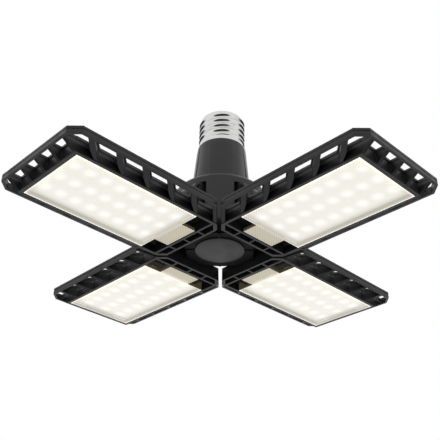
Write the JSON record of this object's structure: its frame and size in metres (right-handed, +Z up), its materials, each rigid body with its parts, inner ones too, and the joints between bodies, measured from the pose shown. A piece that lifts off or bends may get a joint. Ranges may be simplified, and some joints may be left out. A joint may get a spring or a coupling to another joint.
{
  "type": "folding ceiling light",
  "caption": "Screw-in ceiling light whose flat lamp leaves fold up on friction hinges round a dark hub.",
  "frame": {"origin": "centre of the seat plane where the screw shell meets the neck", "axes": "+Z up the screw base towards the lamp holder, +X and +Y along two leaves laid flat"},
  "size_m": [0.2266, 0.2266, 0.0925],
  "materials": {
    "shell": "bright nickel plate, rolled thread",
    "insulator": "glossy black insulator",
    "contact": "plated contact, lightly worn",
    "hub_plastic": "moulded, satin dark grey",
    "cover_plastic": "moulded, matte black",
    "cap_plastic": "moulded, satin grey",
    "leaf_plastic": "moulded, satin charcoal with a fine grain",
    "screws": "zinc plated",
    "pins": "turned steel",
    "nuts": "zinc plated",
    "washers": "sprung steel",
    "lamp_board": "white solder mask on aluminium",
    "lamps": "yellow phosphor, lit",
    "diffuser": "milky acrylic, fine ribs inside",
    "circuit_board": "green solder mask",
    "transformer": "ferrite core and taped winding",
    "capacitors": "sleeved can",
    "rectifier": "moulded",
    "surge_disc": "dipped epoxy",
    "supply_wires": "tinned",
    "leads": "insulated lead",
    "plug": "moulded nylon"
  },
  "bodies": {
    "hub": {"screw_shell": "shell", "base_insulator": "insulator", "centre_contact": "contact", "hub_housing": "hub_plastic", "hub_cover": "cover_plastic", "cover_screws": "screws", "centre_cap": "cap_plastic", "driver_board": "circuit_board", "transformer": "transformer", "smoothing_capacitors": "capacitors", "rectifier": "rectifier", "surge_disc": "surge_disc", "supply_wires": "supply_wires", "leaf_leads": "leads", "lead_plug": "plug"},
    "right_leaf": {"right_frame": "leaf_plastic", "right_lamp_board": "lamp_board", "right_lamps": "lamps", "right_diffuser": "diffuser", "right_board_screws": "screws", "right_hinge_pin": "pins", "right_hinge_nut": "nuts", "right_hinge_washers": "washers"},
    "back_leaf": {"back_frame": "leaf_plastic", "back_lamp_board": "lamp_board", "back_lamps": "lamps", "back_diffuser": "diffuser", "back_board_screws": "screws", "back_hinge_pin": "pins", "back_hinge_nut": "nuts", "back_hinge_washers": "washers"},
    "left_leaf": {"left_frame": "leaf_plastic", "left_lamp_board": "lamp_board", "left_lamps": "lamps", "left_diffuser": "diffuser", "left_board_screws": "screws", "left_hinge_pin": "pins", "left_hinge_nut": "nuts", "left_hinge_washers": "washers"},
    "front_leaf": {"front_frame": "leaf_plastic", "front_lamp_board": "lamp_board", "front_lamps": "lamps", "front_diffuser": "diffuser", "front_board_screws": "screws", "front_hinge_pin": "pins", "front_hinge_nut": "nuts", "front_hinge_washers": "washers"}
  },
  "joints": [
    {"name": "right_hinge", "type": "hinge", "parent": "hub", "child": "right_leaf", "pos_m": [0.024, 0, -0.042], "axis": [0, -1, 0], "range_deg": [0, 90]},
    {"name": "back_hinge", "type": "hinge", "parent": "hub", "child": "back_leaf", "pos_m": [0, 0.024, -0.042], "axis": [1, 0, 0], "range_deg": [0, 90]},
    {"name": "left_hinge", "type": "hinge", "parent": "hub", "child": "left_leaf", "pos_m": [-0.024, 0, -0.042], "axis": [0, 1, 0], "range_deg": [0, 90]},
    {"name": "front_hinge", "type": "hinge", "parent": "hub", "child": "front_leaf", "pos_m": [0, -0.024, -0.042], "axis": [-1, 0, 0], "range_deg": [0, 90]}
  ]
}
